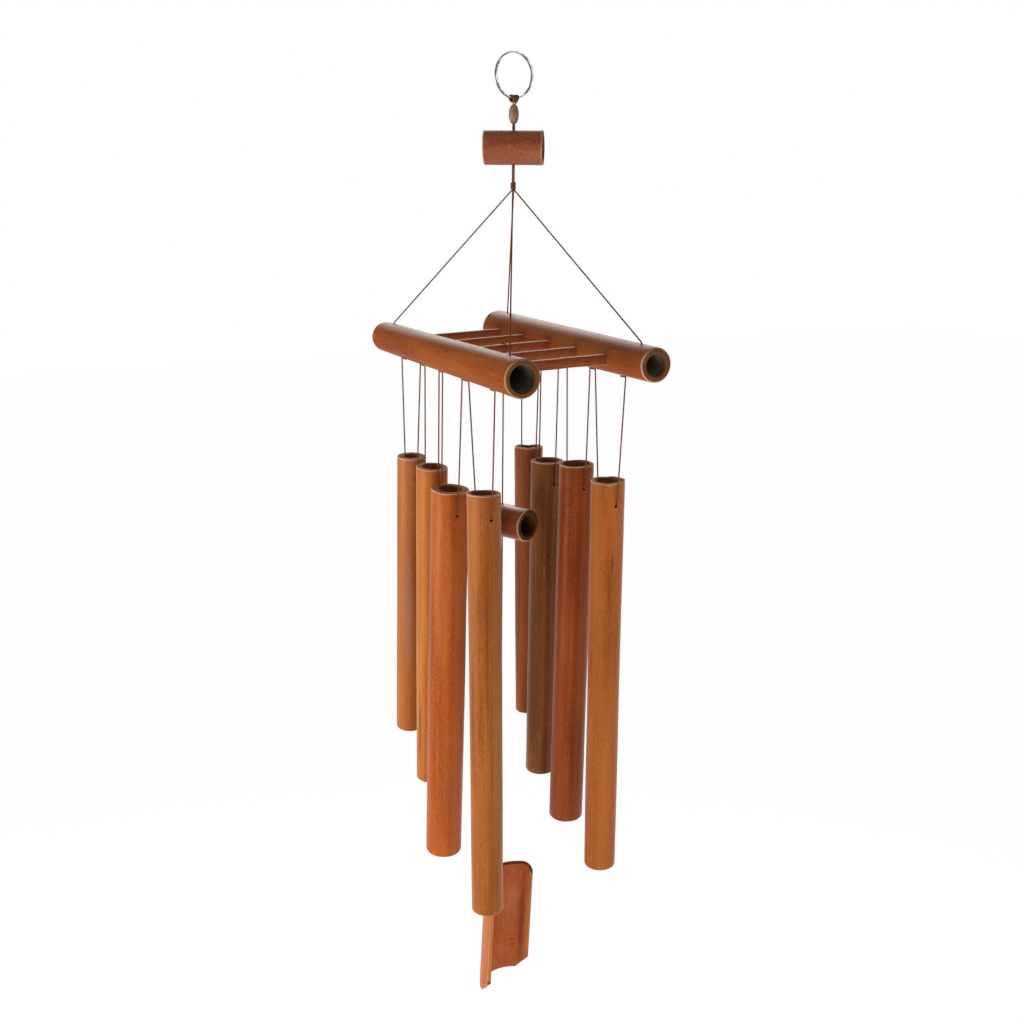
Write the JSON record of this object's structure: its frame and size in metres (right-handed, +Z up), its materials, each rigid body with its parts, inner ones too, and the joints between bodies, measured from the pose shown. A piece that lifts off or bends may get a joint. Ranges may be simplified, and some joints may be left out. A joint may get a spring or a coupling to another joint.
{
  "type": "bamboo wind chime",
  "caption": "Hanging wind chime with two rows of bamboo tubes on cords under a bamboo rail frame, a crosswise striker and a split bamboo wind sail.",
  "frame": {"origin": "middle of the hanging ring", "axes": "+Z up along the hanging cords, +X along the rails to their near ends, -Y to the left row of tubes"},
  "size_m": [0.234, 0.1207, 0.6907],
  "materials": {
    "ring_steel": "bright nickel plated steel",
    "cord": "brown waxed twisted thread",
    "bead_wood": "satin brown wood",
    "toggle_bamboo": "red-brown stained bamboo, satin varnish",
    "rail_bamboo": "orange-brown stained bamboo, satin varnish",
    "slat_bamboo": "red-brown split bamboo with pale edges",
    "left_tube_1_bamboo": "orange-brown bamboo, satin varnish",
    "left_tube_2_bamboo": "yellow-tan bamboo with a dark streak, satin varnish",
    "left_tube_3_bamboo": "red-orange bamboo, satin varnish",
    "left_tube_4_bamboo": "tan-brown bamboo, satin varnish",
    "right_tube_1_bamboo": "red-brown bamboo, satin varnish",
    "right_tube_2_bamboo": "dark grey-brown bamboo, satin varnish",
    "right_tube_3_bamboo": "deep red-brown bamboo, satin varnish",
    "right_tube_4_bamboo": "tan-orange bamboo, satin varnish",
    "striker_bamboo": "dark red-brown bamboo, satin varnish",
    "sail_bamboo": "split bamboo, varnished outside and bare inside"
  },
  "bodies": {
    "ring": {"hanging_ring": "ring_steel"},
    "hanger": {"hanger_cord": "cord", "toggle_knot": "cord"},
    "bead": {"bead": "bead_wood"},
    "toggle": {"toggle_tube": "toggle_bamboo"},
    "frame": {"gathering_knot": "cord", "left_far_cord": "cord", "left_near_cord": "cord", "right_far_cord": "cord", "right_near_cord": "cord", "left_rail": "rail_bamboo", "right_rail": "rail_bamboo", "left_rail_stitches": "cord", "right_rail_stitches": "cord", "slat_1": "slat_bamboo", "slat_2": "slat_bamboo", "slat_3": "slat_bamboo", "slat_4": "slat_bamboo", "slat_5": "slat_bamboo"},
    "left_tube_1_body": {"left_tube_1": "left_tube_1_bamboo", "left_tube_1_cord": "cord"},
    "left_tube_2_body": {"left_tube_2": "left_tube_2_bamboo", "left_tube_2_cord": "cord"},
    "left_tube_3_body": {"left_tube_3": "left_tube_3_bamboo", "left_tube_3_cord": "cord"},
    "left_tube_4_body": {"left_tube_4": "left_tube_4_bamboo", "left_tube_4_cord": "cord"},
    "right_tube_1_body": {"right_tube_1": "right_tube_1_bamboo", "right_tube_1_cord": "cord"},
    "right_tube_2_body": {"right_tube_2": "right_tube_2_bamboo", "right_tube_2_cord": "cord"},
    "right_tube_3_body": {"right_tube_3": "right_tube_3_bamboo", "right_tube_3_cord": "cord"},
    "right_tube_4_body": {"right_tube_4": "right_tube_4_bamboo", "right_tube_4_cord": "cord"},
    "loop": {"striker_loop": "cord"},
    "striker_line": {"striker_cord": "cord"},
    "striker_body": {"striker": "striker_bamboo"},
    "sail_line": {"sail_cord": "cord"},
    "sail_body": {"sail": "sail_bamboo", "sail_loop": "cord"}
  },
  "joints": [
    {"name": "hanger_swing", "type": "hinge", "parent": "ring", "child": "hanger", "pos_m": [0, 0, -0.01445], "axis": [-0.1392, 0.9903, 0], "range_deg": [-20, 20]},
    {"name": "bead_slide", "type": "slide", "parent": "hanger", "child": "bead", "axis": [0, 0, 1], "range_m": [-0.0034, 0]},
    {"name": "toggle_turn", "type": "hinge", "parent": "hanger", "child": "toggle", "pos_m": [0, 0, -0.046], "axis": [0, 0, 1], "continuous": true},
    {"name": "frame_twist", "type": "hinge", "parent": "hanger", "child": "frame", "pos_m": [0, 0, -0.071], "axis": [0, 0, 1], "range_deg": [-40, 40]},
    {"name": "left_tube_1_swing", "type": "hinge", "parent": "frame", "child": "left_tube_1_body", "pos_m": [-0.065, -0.0496, -0.19601], "axis": [1, 0, 0], "range_deg": [-30, 10]},
    {"name": "left_tube_2_swing", "type": "hinge", "parent": "frame", "child": "left_tube_2_body", "pos_m": [-0.0255, -0.0496, -0.19618], "axis": [1, 0, 0], "range_deg": [-30, 5]},
    {"name": "left_tube_3_swing", "type": "hinge", "parent": "frame", "child": "left_tube_3_body", "pos_m": [0.01, -0.0496, -0.19639], "axis": [1, 0, 0], "range_deg": [-30, 5]},
    {"name": "left_tube_4_swing", "type": "hinge", "parent": "frame", "child": "left_tube_4_body", "pos_m": [0.0575, -0.0496, -0.19665], "axis": [1, 0, 0], "range_deg": [-30, 10]},
    {"name": "right_tube_1_swing", "type": "hinge", "parent": "frame", "child": "right_tube_1_body", "pos_m": [-0.0585, 0.0444, -0.19419], "axis": [1, 0, 0], "range_deg": [-10, 30]},
    {"name": "right_tube_2_swing", "type": "hinge", "parent": "frame", "child": "right_tube_2_body", "pos_m": [-0.027, 0.0444, -0.19393], "axis": [1, 0, 0], "range_deg": [-5, 30]},
    {"name": "right_tube_3_swing", "type": "hinge", "parent": "frame", "child": "right_tube_3_body", "pos_m": [0.016, 0.0444, -0.1936], "axis": [1, 0, 0], "range_deg": [-5, 30]},
    {"name": "right_tube_4_swing", "type": "hinge", "parent": "frame", "child": "right_tube_4_body", "pos_m": [0.06, 0.0444, -0.19328], "axis": [1, 0, 0], "range_deg": [-10, 30]},
    {"name": "striker_fore_swing", "type": "hinge", "parent": "frame", "child": "loop", "pos_m": [-0.0078, -0.0026, -0.1817], "axis": [0, 0.9994, 0.034], "range_deg": [-20, 20]},
    {"name": "striker_side_swing", "type": "hinge", "parent": "loop", "child": "striker_line", "pos_m": [-0.0078, -0.0026, -0.19021], "axis": [1, 0, 0], "range_deg": [-4.5, 5.9]},
    {"name": "striker_turn", "type": "hinge", "parent": "striker_line", "child": "striker_body", "pos_m": [-0.0078, -0.0026, -0.3054], "axis": [0, 0, 1], "continuous": true},
    {"name": "sail_swing", "type": "hinge", "parent": "striker_line", "child": "sail_line", "pos_m": [-0.0078, -0.0026, -0.3182], "axis": [0, 1, 0], "range_deg": [-20, 20]},
    {"name": "sail_turn", "type": "hinge", "parent": "sail_line", "child": "sail_body", "pos_m": [-0.0078, -0.0026, -0.5757], "axis": [0, 0, 1], "range_deg": [-60, 60]}
  ]
}
